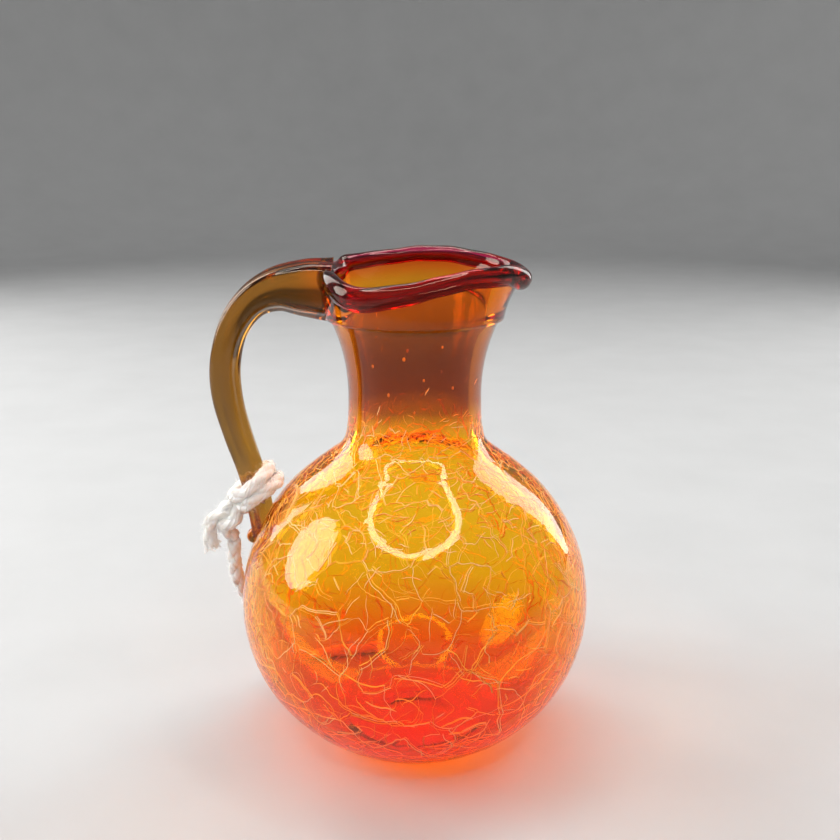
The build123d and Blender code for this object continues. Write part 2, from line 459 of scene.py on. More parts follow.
def revolve_line(line, angles):
    """Rings of points from a line of radius and height."""
    return np.stack([
        np.outer(line[:, 0], np.cos(angles)),
        np.outer(line[:, 0], np.sin(angles)),
        np.repeat(line[:, 1][:, None], len(angles), axis=1)], axis=2)


def surface_normals(surface):
    """Outward unit normals of rings that go up round the axis."""
    up = np.gradient(surface, axis=0)
    around = np.roll(surface, -1, axis=1) - np.roll(surface, 1, axis=1)
    return unit(np.cross(around, up))


def rim_rings(angles, inner, count):
    """Rings from the collar's foot up to the seat of the ruby lip."""
    rim_radius, rim_z, _ = rim_line(angles)
    top_z = rim_z - LIP_SEAT + LIP_OVERLAP
    if inner:
        foot_radius = NECK_RADIUS + FLARE_RADIUS - math.sqrt(
            (FLARE_RADIUS + WALL) ** 2 - (COLLAR_Z - NECK_Z) ** 2)
        top_radius = rim_radius - LIP_WALL / 2
    else:
        foot_radius = NECK_RADIUS + FLARE_RADIUS + COLLAR_STEP - math.sqrt(
            FLARE_RADIUS ** 2 - (COLLAR_Z - NECK_Z) ** 2)
        top_radius = rim_radius + LIP_WALL / 2
    rings = []
    for t in np.linspace(0, 1, count):
        radius = ((1 - t) ** 2 * foot_radius
                  + 2 * t * (1 - t) * (foot_radius + COLLAR_BULGE) + t ** 2 * top_radius)
        height = ((1 - t) ** 2 * COLLAR_Z
                  + 2 * t * (1 - t) * (COLLAR_Z + top_z) / 2 + t ** 2 * top_z)
        rings.append(np.stack([
            radius * np.cos(angles), radius * np.sin(angles), height], axis=1))
    return np.array(rings)


def build_vessel():
    """The bulb, neck and collar as one closed wall of glass."""
    angles = circle_angles(COLUMNS)
    body = revolve_line(resample(side_line(0, 0.0), BODY_RINGS), angles)
    normals = surface_normals(body)
    networks = []
    for scale, start, whole_share in NETWORKS:
        seeds = scatter_seeds(body, scale, start)
        owner, first, second = nearest_two(warp(body.reshape(-1, 3)), seeds)
        networks.append((owner, seeds, whole_share, second - first))
    edge_gap = networks[0][3].reshape(body.shape[:2])
    fade = np.clip((CRACK_TOP_Z - body[..., 2]) / GROOVE_FADE_TOP, 0, 1)
    foot_fade = np.clip(body[..., 2] / GROOVE_FADE_FOOT, 0, 1)
    groove = GROOVE_DEPTH * np.exp(-(edge_gap / GROOVE_WIDTH) ** 2) * fade * foot_fade
    body = body - normals * groove[..., None]

    sphere = (PONTIL_RADIUS ** 2 + PONTIL_DEPTH ** 2) / (2 * PONTIL_DEPTH)
    dish = [(r, PONTIL_DEPTH - sphere + math.sqrt(sphere ** 2 - r ** 2))
            for r in np.linspace(POLE_RADIUS, PONTIL_RADIUS, DISH_RINGS)]
    foot = dish[:-1] + [
        (PONTIL_RADIUS + FOOT_INNER_EDGE, FOOT_GAP), (FOOT_RADIUS - FOOT_OUTER_EDGE, FOOT_GAP)]
    collar_outer = rim_rings(angles, False, COLLAR_OUTER_RINGS)
    collar_inner = rim_rings(angles, True, COLLAR_INNER_RINGS)[::-1]
    inner = resample(side_line(WALL, FLOOR_THICKNESS), INNER_RINGS)[::-1]
    floor_radius = inner[-1, 0]
    floor = [(r, FLOOR_THICKNESS + FLOOR_DOME * (1 - (r / floor_radius) ** 2))
             for r in np.linspace(floor_radius, POLE_RADIUS, FLOOR_RINGS)[1:]]
    lower = revolve_line(np.array(foot), angles)
    inside = revolve_line(np.concatenate([inner[1:], floor]), angles)
    rings = np.concatenate([lower, body, collar_outer, collar_inner, inside])
    vertices, faces = tube_with_caps(rings)
    piece = add_mesh("vessel_glass", vertices, faces)

    share = np.zeros(rings.shape[:2])
    # Less ruby at the front right: partly the collar's own uneven colour, partly a painted
    # reflection, a pale patch where a whitish reflection falls.
    pale_front = 1 - PALE_SHARE * np.exp(-((angles - PALE_ANGLE) / PALE_SPREAD) ** 2)
    outside = len(lower) + len(body)
    top = outside + COLLAR_OUTER_RINGS
    end = top + COLLAR_INNER_RINGS
    share[outside:top] = np.linspace(0, 1, COLLAR_OUTER_RINGS)[:, None] * pale_front
    share[top:end] = np.linspace(1, 0, COLLAR_INNER_RINGS)[:, None] * pale_front
    set_share(piece, share)
    return piece, body, normals, networks


def set_share(piece, share):
    """Keep a value from 0 to 1 at each vertex, for the colour of the glass."""
    values = np.zeros(len(piece.data.vertices))
    values[:share.size] = share.reshape(-1)
    layer = piece.data.attributes.new("tint_share", "FLOAT", "POINT")
    layer.data.foreach_set("value", values)


# ---- Cracks ----


def crack_nature(rng, mouth, depth, open_share):
    """How deep the top of a crack lies, its mouth, its depth and its lean."""
    is_open = rng.random() < open_share
    sink = -OPEN_RISE if is_open else FISSURE_SINK
    mouth *= rng.uniform(*MOUTH_RANGE) * (OPEN_WIDER if is_open else 1.0)
    return sink, mouth, depth * rng.uniform(*DEPTH_RANGE), rng.normal(0, LEAN)


def add_wedge(vertices, faces, points, normals, nature):
    """A thin crack with a wedge section, which dies out at both ends."""
    sink, mouth, depth, lean = nature
    along = np.gradient(points, axis=0)
    side = unit(np.cross(along, normals))
    share = np.linspace(-1, 1, len(points))
    taper = (1 - WEDGE_TAPER * share ** 4)[:, None]
    top = points - normals * sink
    corners = np.stack([
        top - side * mouth / 2 * taper,
        top + side * mouth / 2 * taper,
        top + (side * lean - normals) * depth * taper], axis=1)
    start = len(vertices)
    vertices.extend(corners.reshape(-1, 3))
    for step in range(len(points) - 1):
        low = start + step * 3
        for corner in range(3):
            after = (corner + 1) % 3
            faces.append((low + corner, low + after, low + 3 + after, low + 3 + corner))
    faces.append((start, start + 2, start + 1))
    faces.append((low + 3, low + 4, low + 5))


def add_hairlines(vertices, faces):
    """Short wandering cracks, closest together round the shoulder."""
    rng = np.random.default_rng(HAIRLINE_SEED)
    line = resample(side_line(0, 0.0), OUTLINE_POINTS)
    along = distance_along(line)
    tangent = unit(np.gradient(line, axis=0))
    for low, high, count, shortest, longest, level, opened, left, right in HAIRLINE_ZONES:
        for _ in range(count):
            height = rng.uniform(low, high) * MM
            place = np.interp(height, line[:, 1], along)
            turn = math.radians(rng.uniform(left, right))
            if rng.random() < level:
                heading = rng.normal(0, LEVEL_SPREAD)
            else:
                heading = rng.uniform(*UPRIGHT_RANGE)
            length = rng.uniform(shortest, longest) * MM
            bend = rng.normal(0, HAIRLINE_BEND)
            points = []
            normals = []
            for _ in range(max(HAIRLINE_LEAST, int(length / HAIRLINE_STEP))):
                radius = np.interp(place, along, line[:, 0])
                out = np.interp(place, along, tangent[:, 1])
                up = -np.interp(place, along, tangent[:, 0])
                across = np.array([math.cos(turn), math.sin(turn), 0.0])
                points.append(radius * across + [0, 0, np.interp(place, along, line[:, 1])])
                normals.append(out * across + [0, 0, up])
                heading += bend + rng.normal(0, HAIRLINE_WANDER)
                place += HAIRLINE_STEP * math.sin(heading)
                turn += HAIRLINE_STEP * math.cos(heading) / radius
                place = min(max(place, along[0]), along[-1])
            if min(point[2] for point in points) < CRACK_FOOT_Z:
                continue
            nature = crack_nature(rng, HAIRLINE_MOUTH, HAIRLINE_DEPTH, opened)
            add_wedge(vertices, faces, np.array(points), np.array(normals), nature)


def add_ball(vertices, faces, centre, radii, around=12, levels=7):
    """A closed ball with its own radius along each axis."""
    start = len(vertices)
    radii = np.array(radii)
    vertices.append(np.array(centre) + radii * [0, 0, -1])
    for level in range(1, levels):
        rise = -math.pi / 2 + math.pi * level / levels
        for corner in range(around):
            turn = 2 * math.pi * corner / around
            vertices.append(np.array(centre) + radii * [
                math.cos(rise) * math.cos(turn), math.cos(rise) * math.sin(turn), math.sin(rise)])
    vertices.append(np.array(centre) + radii * [0, 0, 1])
    last = len(vertices) - 1
    for corner in range(around):
        after = (corner + 1) % around
        faces.append((start, start + 1 + after, start + 1 + corner))
        faces.append((last, last - around + corner, last - around + after))
        for level in range(levels - 2):
            low = start + 1 + level * around
            faces.append((low + corner, low + after, low + around + after, low + around + corner))


def add_bubbles(vertices, faces):
    """Small air bubbles caught in the wall of the neck."""
    line = side_line(0, 0.0)
    for degrees, height, size in BUBBLES:
        radius = np.interp(height * MM, line[:, 1], line[:, 0]) - WALL / 2
        turn = math.radians(degrees)
        centre = (radius * math.cos(turn), radius * math.sin(turn), height * MM)
        radii = (size * MM, size * MM, BUBBLE_STRETCH * size * MM)
        add_ball(vertices, faces, centre, radii, around=8, levels=5)


def add_cell_cracks(vertices, faces, surface, normals, network):
    """Long cracks along the edges of the cells, found triangle by triangle."""
    owner, seeds, whole_share, _ = network
    rings, columns, _ = surface.shape
    points = surface.reshape(-1, 3)
    normal = normals.reshape(-1, 3)
    warped = warp(points)
    index = np.arange(rings * columns).reshape(rings, columns)
    beside = np.roll(index, -1, axis=1)
    triangles = np.concatenate([
        np.stack([index[:-1], beside[:-1], beside[1:]], axis=2).reshape(-1, 3),
        np.stack([index[:-1], beside[1:], index[1:]], axis=2).reshape(-1, 3)])
    label = owner[triangles]
    mixed = ~((label[:, 0] == label[:, 1]) & (label[:, 1] == label[:, 2]))
    height = points[triangles[:, 0], 2]
    within = (height < CRACK_TOP_Z) & (height > CRACK_FOOT_Z)
    rng = np.random.default_rng(EDGE_SEED)
    nature = {}
    known = {}
    uses = {}

    def crossing(p, q):
        """Point between two vertices that is as far from both their seeds."""
        p, q = min(p, q), max(p, q)
        seed_p, seed_q = seeds[owner[p]], seeds[owner[q]]
        at_p = np.linalg.norm(warped[p] - seed_q) - np.linalg.norm(warped[p] - seed_p)
        at_q = np.linalg.norm(warped[q] - seed_p) - np.linalg.norm(warped[q] - seed_q)
        t = min(max(at_p / max(at_p + at_q, 1e-12), 0.0), 1.0)
        return points[p] + (points[q] - points[p]) * t, normal[p], (p, q)

    def edge_nature(pair):
        """Sideways place and nature of each crack along a cell edge."""
        if pair not in nature:
            twins = [0.0]
            if rng.random() < whole_share:
                twins = []
            elif rng.random() < DOUBLE_SHARE:
                twins = [-rng.uniform(*TWIN_RANGE) * MM, rng.uniform(*TWIN_RANGE) * MM]
            nature[pair] = [
                (offset, *crack_nature(rng, FISSURE_MOUTH, FISSURE_DEPTH, OPEN_SHARE))
                for offset in twins]
        return nature[pair]

    def corners(point, out, key, pair, twin):
        """First of the three corners of the crack's section at this point."""
        if (key, pair, twin) in known:
            return known[(key, pair, twin)]
        offset, sink, mouth, depth, lean = nature[pair][twin]
        side = seeds[pair[1]] - seeds[pair[0]]
        side = unit(side - out * np.dot(side, out))
        wander = math.sin(point[2] / TWIN_WAVE + TWIN_PHASE * twin) * TWIN_SWAY
        top = point - out * sink + side * (offset + wander * (offset != 0))
        half = side * mouth / 2
        start = len(vertices)
        vertices.extend([top - half, top + half, top + (side * lean - out) * depth])
        known[(key, pair, twin)] = start
        return start

    for triangle in triangles[mixed & within]:
        labels = owner[triangle]
        found = []
        for p, q in ((0, 1), (1, 2), (2, 0)):
            if labels[p] != labels[q]:
                pair = tuple(sorted((int(labels[p]), int(labels[q]))))
                found.append((*crossing(int(triangle[p]), int(triangle[q])), pair))
        if len(found) == 2:
            ends = [(found[0], found[1])]
        else:
            middle = (found[0][0] + found[1][0] + found[2][0]) / 3
            key = tuple(int(corner) for corner in triangle)
            ends = [(f, (middle, f[1], key, f[3])) for f in found]
        for one, other in ends:
            for twin in range(len(edge_nature(one[3]))):
                i = corners(one[0], one[1], one[2], one[3], twin)
                j = corners(other[0], other[1], other[2], one[3], twin)
                if i == j:
                    continue
                for corner in range(3):
                    after = (corner + 1) % 3
                    faces.append((i + corner, i + after, j + after, j + corner))
                uses[i] = uses.get(i, 0) + 1
                uses[j] = uses.get(j, 0) + 1
    for start, count in uses.items():
        if count == 1:
            faces.append((start, start + 1, start + 2))


def build_fissures(surface, normals, networks):
    """All the cracks and bubbles inside the glass as one piece."""
    vertices = []
    faces = []
    for network in networks:
        add_cell_cracks(vertices, faces, surface, normals, network)
    add_hairlines(vertices, faces)
    add_bubbles(vertices, faces)
    return add_mesh("crackle_fissures", vertices, faces, smooth=False)


# ---- Ruby lip ----

LIP_SECTION_POINTS = 28
LIP_COLUMNS = 320
LIP_STEP = 0.8 * MM           # where the end of the lip laps over its beginning
LIP_STEP_ANGLE = math.radians(150)
LIP_STEP_WIDTH = math.radians(1.2)
LIP_STEP_FADE = math.radians(45)
LIP_JOINT_ANGLE = math.radians(195)   # where the lip is thickest, at the handle
LIP_JOINT_SPREAD = math.radians(42)
LIP_SLIM = 0.86               # width away from the joint, of the half width
LIP_SWELL = 0.4               # and how much is added to that at the joint
LIP_RIPPLES = [(0.10 * MM, 5, 1.0), (0.06 * MM, 13, 0.0)]   # height, waves, phase
DROP_SPREAD = math.radians(9)
DROP_SAG = 0.5 * MM


def build_lip():
    """The ruby rim round the mouth, drawn out into a drop at the spout."""
    angles = circle_angles(LIP_COLUMNS)
    radius, height, half_height = rim_line(angles)
    from_spout = np.minimum(angles, 2 * math.pi - angles)
    drop = np.exp(-(from_spout / DROP_SPREAD) ** 2)
    past_step = angles - LIP_STEP_ANGLE
    step = LIP_STEP / (1 + np.exp(-past_step / LIP_STEP_WIDTH))
    step *= np.exp(-(np.maximum(past_step, 0) / LIP_STEP_FADE) ** 2)
    near_handle = np.exp(-((angles - LIP_JOINT_ANGLE) / LIP_JOINT_SPREAD) ** 2)
    half_width = LIP_HALF_WIDTH * (LIP_SLIM + LIP_SWELL * near_handle)
    half_width += (SPOUT_DROP_RADIUS - LIP_HALF_WIDTH) * drop
    ripple = sum(size * np.sin(waves * angles + phase) for size, waves, phase in LIP_RIPPLES)
    rings = []
    for turn in circle_angles(LIP_SECTION_POINTS):
        out = half_width * math.cos(turn)
        up = half_height * math.sin(turn)
        away = radius + out
        level = height + up + ripple - step - DROP_SAG * drop
        rings.append(np.stack([away * np.cos(angles), away * np.sin(angles), level], axis=1))
    faces = ring_faces(LIP_SECTION_POINTS, LIP_COLUMNS, True)
    return add_mesh("ruby_lip_glass", np.array(rings).reshape(-1, 3), faces)


# ---- Handle ----

HANDLE_RINGS = 150
HANDLE_CORNERS = 64
RIBS = 5
RIB_HEIGHT = 0.075            # of the handle's own half width
RIB_START = 0.5               # these two in radians
RIB_TWIST = 1.2
WAVE_HEIGHT = 0.012           # slow waves over the ribs
WAVES_ROUND = 3
WAVES_ALONG = 26
CURL_WIDER = 1.5              # across the handle, against its height
WARM_JOINT = (-17.0, 6.5)     # x and spread in mm of the amber tint at the lip
WARM_FOOT = (46.4, 5.0)       # height and spread in mm of the tint on the bulb
WARM_FOOT_SHARE = 0.6
WARM_CURL_SHARE = 0.5


def build_handle():
    """The pulled handle: a ribbed rod that swells where it joins the glass."""
    stations = smooth_through(np.array(HANDLE_STATIONS), HANDLE_RINGS)
    centre = np.stack([
        stations[:, 0], np.zeros(len(stations)), stations[:, 1]], axis=1) * MM
    along = unit(np.gradient(centre, axis=0))
    across = np.array([0.0, 1.0, 0.0])
    turns = circle_angles(HANDLE_CORNERS)
    rings = []
    for index, (_, _, thickness, width) in enumerate(stations):
        share = index / (HANDLE_RINGS - 1)
        outward = np.cross(across, along[index])
        ribs = 1 + RIB_HEIGHT * np.cos(RIBS * turns + RIB_START + RIB_TWIST * share)
        ribs += WAVE_HEIGHT * np.sin(WAVES_ROUND * turns + WAVES_ALONG * share)
        side = width / 2 * np.cos(turns) * ribs * MM
        out = thickness / 2 * np.sin(turns) * ribs * MM
        rings.append(centre[index] + side[:, None] * across + out[:, None] * outward)
    vertices, faces = tube_with_caps(np.array(rings))
    tube_count = len(vertices)
    curl = np.array(CURL_CENTRE) * MM
    radii = np.array([1.0, CURL_WIDER, 1.0]) * CURL_RADIUS * MM
    add_ball(vertices, faces, curl, radii, around=20, levels=12)
    piece = add_mesh("handle_glass", vertices, faces)
    warm = np.exp(-((stations[:, 0] - WARM_JOINT[0]) / WARM_JOINT[1]) ** 2)
    warm_foot = np.exp(-((stations[:, 1] - WARM_FOOT[0]) / WARM_FOOT[1]) ** 2)
    warm = np.maximum(warm, WARM_FOOT_SHARE * warm_foot)
    share = np.zeros(len(vertices))
    share[:tube_count - 2] = np.repeat(warm, HANDLE_CORNERS)
    share[tube_count - 2] = 1.0
    share[tube_count - 1:] = WARM_CURL_SHARE
    set_share(piece, share)
    return piece


# ---- String ----

STRANDS = 3
STRAND_RADIUS = 0.64          # of the string's own radius
STRAND_OFFSET = 0.33
STRAND_PITCH = 12.0 * MM
FIBRES_PER_STRAND = 13
FIBRE_RADIUS = 0.10 * MM
LOOSE_REACH = 1.5 * MM
LOOSE_RADIUS = 0.035 * MM
LOOSE_PER_POINT = 5.0
LOWEST_FIBRE_Z = 0.05 * MM    # fibres that reach the floor lie on it
FRAY_START = 0.72             # share of a cut end that is still whole
FRAY_CURVE = 1.5
FRAY_SPREAD = 0.5             # how far the strands part at the cut
FRAY_THIN = 0.75              # and how much thinner they get
SWELL = 0.05                  # unevenness of a strand, and its wave
SWELL_WAVE = 1.3 * MM
FIBRE_TWIST = 0.6             # pitch of the fibres against that of the strands
FIBRE_DRIFT = 0.7             # how the fibres stray: angles in radians, waves in mm
FIBRE_SWAY = (0.3, 0.6)
FIBRE_WAVE = (1.2, 2.6)
FIBRE_LIFT = (-0.2, 1.8)      # of their own radius
FIBRE_FRAY = (0.3, 1.1)       # of the string's radius, at a cut
LOOSE_POINTS = 4
LOOSE_RANGE = (0.35, 1.0)     # of the reach
LOOSE_LEAN = (0.9, 0.5)       # along the string and round it
LOOSE_CURL = 0.5
LOOSE_ROOT = 0.46             # where they start, of the string's diameter


def frames_along(line):
    """Direction and two side vectors at each point, carried without twist."""
    along = unit(np.gradient(line, axis=0))
    side = unit(np.cross(along[0], [0.3, 0.2, 1.0]))
    sides = []
    for direction in along:
        side = unit(side - direction * np.dot(side, direction))
        sides.append(side)
    sides = np.array(sides)
    return along, sides, np.cross(along, sides)


def add_tube(vertices, faces, centre, side, up, radius, corners):
    """A round tube along a line, closed at both ends."""
    turns = circle_angles(corners)
    spread = (np.cos(turns)[None, :, None] * side[:, None, :]
              + np.sin(turns)[None, :, None] * up[:, None, :])
    rings = centre[:, None, :] + spread * np.reshape(radius, (-1, 1, 1))
    part, part_faces = tube_with_caps(rings)
    base = len(vertices)
    vertices.extend(part)
    faces.extend([tuple(i + base for i in face) for face in part_faces])


def around_line(line, side, up, reach, angle):
    """Points at this reach and angle from each point of a line."""
    return line + np.reshape(reach, (-1, 1)) * (
        np.cos(angle)[:, None] * side + np.sin(angle)[:, None] * up)


def add_string(vertices, faces, line, frayed, rng):
    """Loosely twisted strands along a line, each wrapped in its own fibres."""
    _, side, up = frames_along(line)
    distance = distance_along(line)
    radius = STRING_DIAMETER / 2
    share = distance / distance[-1]
    fray = np.zeros(len(line))
    if frayed:
        fray = np.clip((share - FRAY_START) / (1 - FRAY_START), 0, 1) ** FRAY_CURVE
    for strand in range(STRANDS):
        angle = strand * 2 * math.pi / STRANDS + 2 * math.pi * distance / STRAND_PITCH
        middle = around_line(
            line, side, up, radius * STRAND_OFFSET * (1 + FRAY_SPREAD * fray), angle)
        thick = radius * STRAND_RADIUS * (1 - FRAY_THIN * fray)
        thick = thick * (1 + SWELL * np.sin(distance / SWELL_WAVE + strand))
        add_tube(vertices, faces, middle, side, up, thick, 12)
        for _ in range(FIBRES_PER_STRAND):
            start = rng.uniform(0, 2 * math.pi)
            drift = rng.normal(0, FIBRE_DRIFT) * share + rng.uniform(*FIBRE_SWAY) * np.sin(
                distance / (rng.uniform(*FIBRE_WAVE) * MM) + rng.uniform(0, 6))
            twist = start + drift - 2 * math.pi * distance / (STRAND_PITCH * FIBRE_TWIST)
            lift = thick * 0.96 + FIBRE_RADIUS * rng.uniform(*FIBRE_LIFT)
            lift = lift + fray * radius * rng.uniform(*FIBRE_FRAY)
            centre = around_line(middle, side, up, lift, twist)
            add_tube(vertices, faces, centre, side, up, np.full(len(line), FIBRE_RADIUS), 5)


def add_loose_fibres(vertices, faces, line, per_point, rng):
    """Fine loose fibres that stand off a string."""
    along, side, up = frames_along(line)
    for _ in range(int(per_point * len(line))):
        index = rng.integers(1, len(line) - 1)
        turn = rng.uniform(0, 2 * math.pi)
        out = math.cos(turn) * side[index] + math.sin(turn) * up[index]
        bend = np.cross(out, along[index])
        reach = LOOSE_REACH * rng.uniform(*LOOSE_RANGE)
        lean = (along[index] * rng.normal(0, LOOSE_LEAN[0])
                + bend * rng.normal(0, LOOSE_LEAN[1]))
        t = np.linspace(0, 1, LOOSE_POINTS)[:, None]
        rise = STRING_DIAMETER * LOOSE_ROOT + reach * t * (1 - 0.45 * t)
        curve = (line[index] + out * rise + lean * reach * t
                 + bend * reach * rng.normal(0, LOOSE_CURL) * t ** 2)
        side_here = np.tile(along[index], (LOOSE_POINTS, 1))
        up_here = np.tile(bend, (LOOSE_POINTS, 1))
        thin = LOOSE_RADIUS * (1 - 0.6 * t[:, 0])
        add_tube(vertices, faces, curve, side_here, up_here, thin, 3)


def spun_string(name, lines, frayed, seed):
    """One piece of soft string along each line; frayed says which ends are cut."""
    rng = np.random.default_rng(seed)
    vertices = []
    faces = []
    for line, cut in zip(lines, frayed):
        add_string(vertices, faces, line, cut, rng)
        add_loose_fibres(vertices, faces, line, LOOSE_PER_POINT, rng)
    vertices = np.array(vertices)
    vertices[:, 2] = np.maximum(vertices[:, 2], LOWEST_FIBRE_Z)
    return add_mesh(name, vertices, faces)


def nurbs_line(route):
    """Points along the smooth NURBS line that has this route as its control points."""
    curve = bpy.data.curves.new("route", "CURVE")
    curve.dimensions = "3D"
    curve.resolution_u = 24
    spline = curve.splines.new("NURBS")
    spline.points.add(len(route) - 1)
    for point, place in zip(spline.points, route):
        point.co = (*[value * MM for value in place], 1.0)
    spline.order_u = 3
    spline.use_endpoint_u = True
    holder = bpy.data.objects.new("route", curve)
    mesh = bpy.data.meshes.new_from_object(holder)
    points = np.array([vertex.co[:] for vertex in mesh.vertices])
    bpy.data.objects.remove(holder)
    bpy.data.meshes.remove(mesh)
    bpy.data.curves.remove(curve)
    return points


def wrap_lines():
    """Centre lines of the turns of string round the handle."""
    along = np.array([math.cos(WRAP_TILT), 0, math.sin(WRAP_TILT)])
    normal = np.array([-math.sin(WRAP_TILT), 0, math.cos(WRAP_TILT)])
    across = np.array([0.0, 1.0, 0.0])
    lines = []
    for side in (-0.5, 0.5):
        centre = np.array(WRAP_CENTRE) + normal * WRAP_PITCH * side
        turns = np.linspace(0, 2 * math.pi, 70)
        line = [centre + WRAP_RADIUS * (math.cos(t) * along + math.sin(t) * across)
                + normal * 0.25 * math.sin(2 * t + 3 * side) for t in turns]
        lines.append(np.array(line) * MM)
    return lines


def knot_line():
    """The string of the knot, from the turns round itself and down."""
    x, y, z = KNOT_CENTRE
    points = [
        (x + 1.6, y + 1.4, z + 2.2),
        (x - 1.2, y + 1.6, z + 0.8),
        (x - 1.4, y - 1.2, z - 1.4),
        (x + 1.2, y - 1.6, z - 0.2),
        (x + 1.0, y + 0.6, z + 1.8),
        (x - 1.2, y + 0.2, z + 1.6),
        (x - 0.6, y - 1.0, z - 2.2),
        (x + 0.6, y + 0.9, z - 4.6),
    ]
    return smooth_through(np.array(points) * MM, 80)


# ---- Materials ----

GLASS_IOR = 1.46
GLASS_BUMP = 0.22 * MM
CLOUD_SCALE = 45.0            # size and detail of the soft noise that stirs a colour
CLOUD_DETAIL = 3.0


def new_material(name, values):
    """A node material with its tree and its Principled shader, set to these values."""
    material = bpy.data.materials.new(name)
    material.use_nodes = True
    tree = material.node_tree
    shader = tree.nodes["Principled BSDF"]
    for socket, value in values.items():
        shader.inputs[socket].default_value = value
    return material, tree, shader


def add_node(tree, kind, values, links, **settings):
    """A node with these settings, and these values and links on its inputs."""
    node = tree.nodes.new("ShaderNode" + kind)
    for name, value in settings.items():
        setattr(node, name, value)
    for socket, value in values.items():
        node.inputs[socket].default_value = value
    for socket, source in links.items():
        tree.links.new(source, node.inputs[socket])
    return node


def add_noise(tree, place, scale, detail, stretch=(1, 1, 1)):
    """Soft noise over the object, pulled out along an axis by stretch."""
    mapping = add_node(
        tree, "Mapping", {"Scale": stretch}, {"Vector": place.outputs["Object"]})
    return add_node(
        tree, "TexNoise", {"Scale": scale, "Detail": detail},
        {"Vector": mapping.outputs["Vector"]})


def add_bump(tree, shader, source, strength, distance):
    """Bump the surface by a noise."""
    bump = add_node(
        tree, "Bump", {"Strength": strength, "Distance": distance},
        {"Height": source.outputs["Fac"]})
    tree.links.new(bump.outputs["Normal"], shader.inputs["Normal"])


def add_ramp(tree, source, stops):
    """A colour ramp over a value."""
    ramp = add_node(tree, "ValToRGB", {}, {"Fac": source})
    elements = ramp.color_ramp.elements
    elements.remove(elements[-1])
    elements[0].position = stops[0][0]
    elements[0].color = (*stops[0][1], 1)
    for position, colour in stops[1:]:
        elements.new(position).color = (*colour, 1)
    return ramp


def colour_by_height(tree, place, stops, low, high, stir):
    """Colour from a ramp over the height, stirred by soft noise."""
    split = add_node(tree, "SeparateXYZ", {}, {0: place.outputs["Object"]})
    level = add_node(
        tree, "MapRange", {"From Min": low, "From Max": high}, {"Value": split.outputs["Z"]})
    cloud = add_noise(tree, place, CLOUD_SCALE, CLOUD_DETAIL)
    shift = add_node(
        tree, "Math", {1: stir}, {0: cloud.outputs["Fac"], 2: level.outputs["Result"]},
        operation="MULTIPLY_ADD")
    centred = add_node(
        tree, "Math", {1: stir / 2}, {0: shift.outputs[0]}, operation="SUBTRACT")
    return add_ramp(tree, centred.outputs[0], stops)


def tint_by_share(tree, base, stops):
    """Blend the colour into another one, by the share kept at each vertex."""
    share = add_node(tree, "Attribute", {}, {}, attribute_name="tint_share")
    ramp = add_ramp(tree, share.outputs["Fac"], stops)
    blend = add_node(
        tree, "Mix", {0: 1.0}, {6: base.outputs["Color"], 7: ramp.outputs["Color"]},
        data_type="RGBA", blend_type="MULTIPLY")
    return blend.outputs[2]


def let_lamps_through(tree, shader, tint):
    """Let the light of the lamps through the glass, tinted, instead of stopping it."""
    path = add_node(tree, "LightPath", {}, {})
    clear = add_node(tree, "BsdfTransparent", {"Color": (*tint, 1)}, {})
    mix = add_node(tree, "MixShader", {}, {
        0: path.outputs["Is Shadow Ray"], 1: shader.outputs["BSDF"],
        2: clear.outputs["BSDF"]})
    tree.links.new(mix.outputs["Shader"], tree.nodes["Material Output"].inputs["Surface"])


def glass_material(name, heights, low, high, shares, tint, absorb, density, streak, rough):
    """Coloured glass: tinted where light goes in and out, and by its depth."""
    material, tree, shader = new_material(name, {
        "Transmission Weight": 1.0, "Roughness": rough, "IOR": GLASS_IOR,
        "Specular Tint": (1.0, 0.86, 0.70, 1)})
    place = add_node(tree, "TexCoord", {}, {})
    base = colour_by_height(tree, place, heights, low, high, stir=0.08)
    tree.links.new(tint_by_share(tree, base, shares), shader.inputs["Base Color"])
    ripples = add_noise(tree, place, 130.0, 2.0, streak)
    add_bump(tree, shader, ripples, 0.35, GLASS_BUMP)
    let_lamps_through(tree, shader, tint)
    volume = add_node(
        tree, "VolumeAbsorption", {"Color": (*absorb, 1), "Density": density}, {})
    tree.links.new(volume.outputs["Volume"], tree.nodes["Material Output"].inputs["Volume"])
    return material


def fissure_material():
    """The faces of a crack: bright where they catch light."""
    material, tree, shader = new_material("crack_faces", {"Roughness": 0.25})
    place = add_node(tree, "TexCoord", {}, {})
    ramp = colour_by_height(
        tree, place,
        [(0.0, (0.84, 0.42, 0.17)), (0.4, (0.90, 0.56, 0.19)), (1.0, (0.95, 0.68, 0.27))],
        low=0.0, high=70 * MM, stir=0.3)
    tree.links.new(ramp.outputs["Color"], shader.inputs["Base Color"])
    return material


def cotton_material():
    """Undyed cotton, a little warm, with the fine streaks of its fibres."""
    material, tree, shader = new_material("cotton", {
        "Roughness": 0.95, "Sheen Weight": 0.35, "Subsurface Weight": 0.2,
        "Subsurface Radius": (0.0014, 0.0011, 0.0008)})
    place = add_node(tree, "TexCoord", {}, {})
    streaks = add_noise(tree, place, 900.0, 4.0)
    ramp = add_ramp(
        tree, streaks.outputs["Fac"], [(0.3, (0.93, 0.89, 0.83)), (0.6, (0.99, 0.98, 0.95))])
    tree.links.new(ramp.outputs["Color"], shader.inputs["Base Color"])
    add_bump(tree, shader, streaks, 0.4, 0.08 * MM)
    return material


# ---- Stage ----

COVE_RADIUS = 1.3
COVE_BEND = 0.35
COVE_TOP = 0.9
COVE_COLUMNS = 96
LAMP_COLUMNS = 96
LAMP_CORNERS = 10
AIM = (0, 0, 0.055)           # where the ring lamp points
SOFT_AIM = (0, 0, 0.05)       # and the soft boxes
RING_LAMP_PLACE = (0.0, -0.160, 0.590)
RING_LAMP_RADIUS = 0.27
RING_LAMP_TUBE = 0.022
RING_LAMP_LIGHT = 11.0


